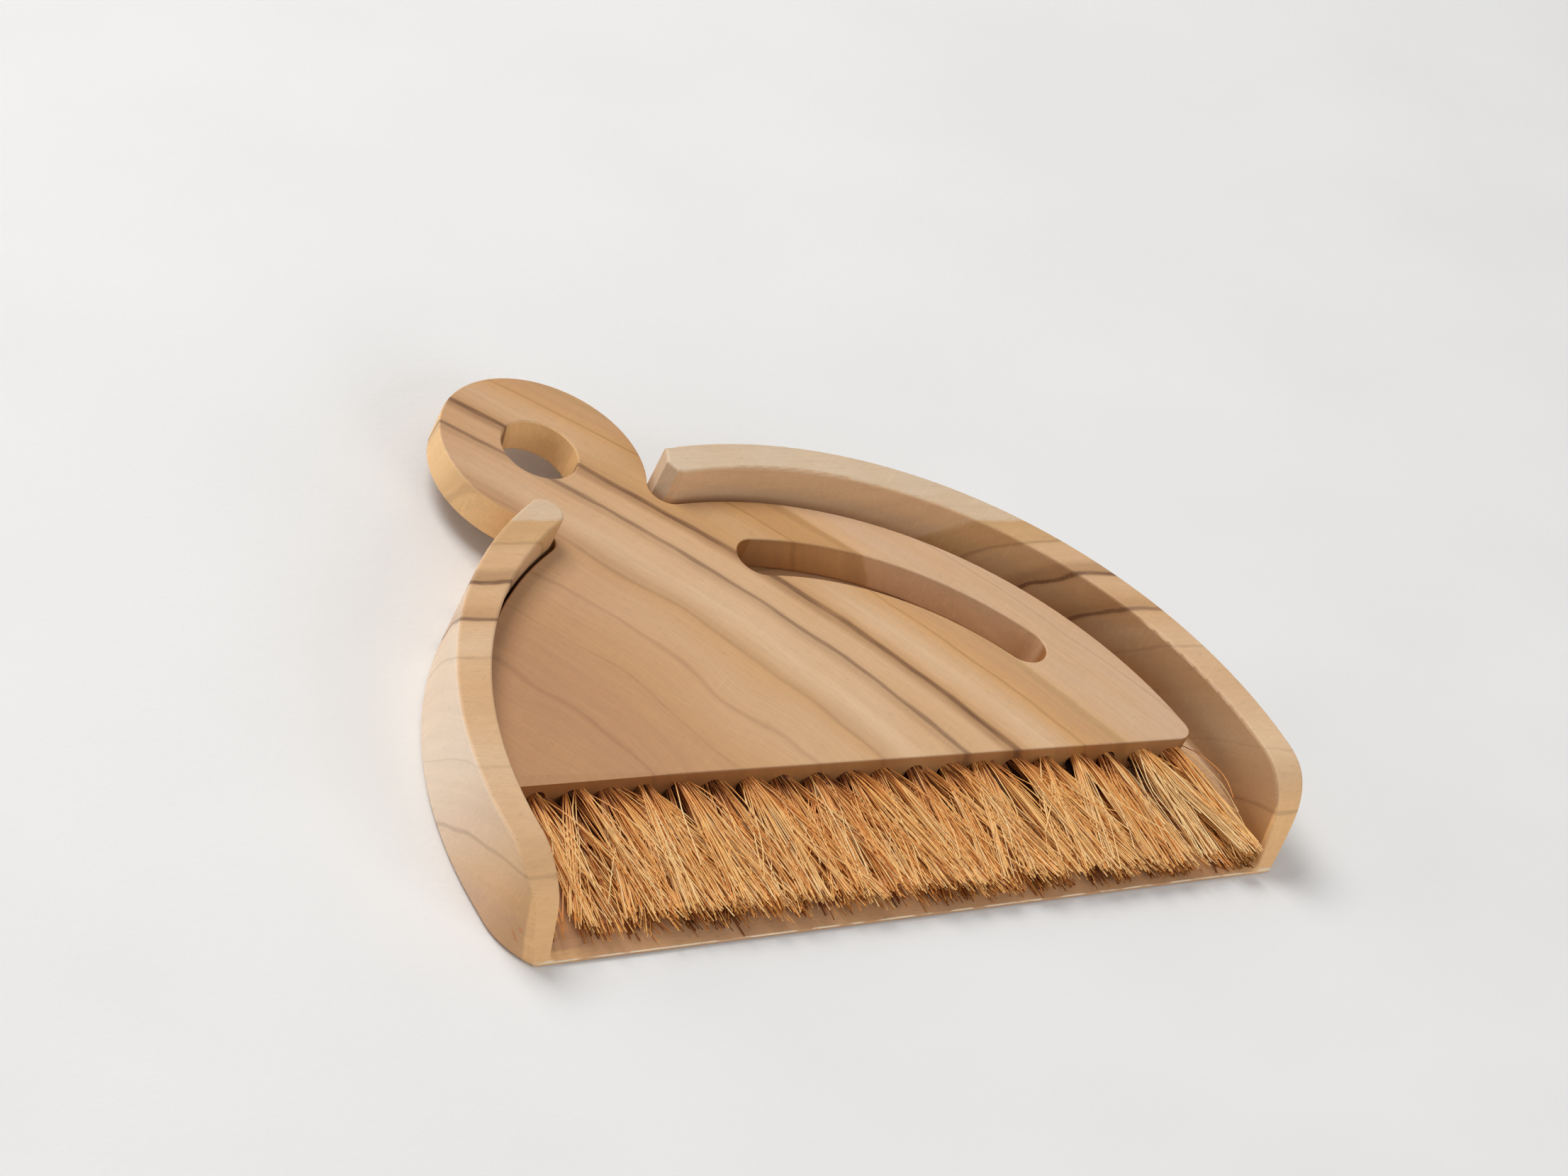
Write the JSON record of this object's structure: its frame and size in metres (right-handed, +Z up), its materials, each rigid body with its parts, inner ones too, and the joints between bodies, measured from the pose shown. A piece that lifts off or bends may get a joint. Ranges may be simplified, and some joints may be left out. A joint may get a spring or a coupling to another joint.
{
  "type": "dustpan and brush",
  "caption": "Small flat D-shaped wooden dustpan with a matching wooden hand brush lying in it, its neck in a gap in the rim.",
  "frame": {"origin": "middle of the footprint of the dustpan with the brush in it, on the dustpan's underside", "axes": "+X along the dustpan's front lip, to the right when looking from the lip towards the round side; +Y from the lip towards the round side; +Z up"},
  "size_m": [0.2384, 0.1768, 0.0255],
  "materials": {
    "pan_teak": "satin, oiled and fine-sanded teak",
    "brush_teak": "satin, oiled and fine-sanded teak with dark grain streaks",
    "coir": "natural coir fibres, dry",
    "steel_wire": "drawn wire"
  },
  "bodies": {
    "dustpan": {"dustpan": "pan_teak"},
    "brush": {"brush_block": "brush_teak", "tuft_01": "coir", "tuft_02": "coir", "tuft_03": "coir", "tuft_04": "coir", "tuft_05": "coir", "tuft_06": "coir", "tuft_07": "coir", "tuft_08": "coir", "tuft_09": "coir", "tuft_10": "coir", "tuft_11": "coir", "tuft_12": "coir", "tuft_13": "coir", "tuft_14": "coir", "tuft_15": "coir", "tuft_16": "coir", "tuft_17": "coir", "tuft_18": "coir", "tuft_19": "coir", "tuft_20": "coir", "tuft_staples": "steel_wire"}
  },
  "joints": [
    {"name": "brush_lift", "type": "slide", "parent": "dustpan", "child": "brush", "axis": [0, 0, 1], "range_m": [0, 0.06]}
  ]
}
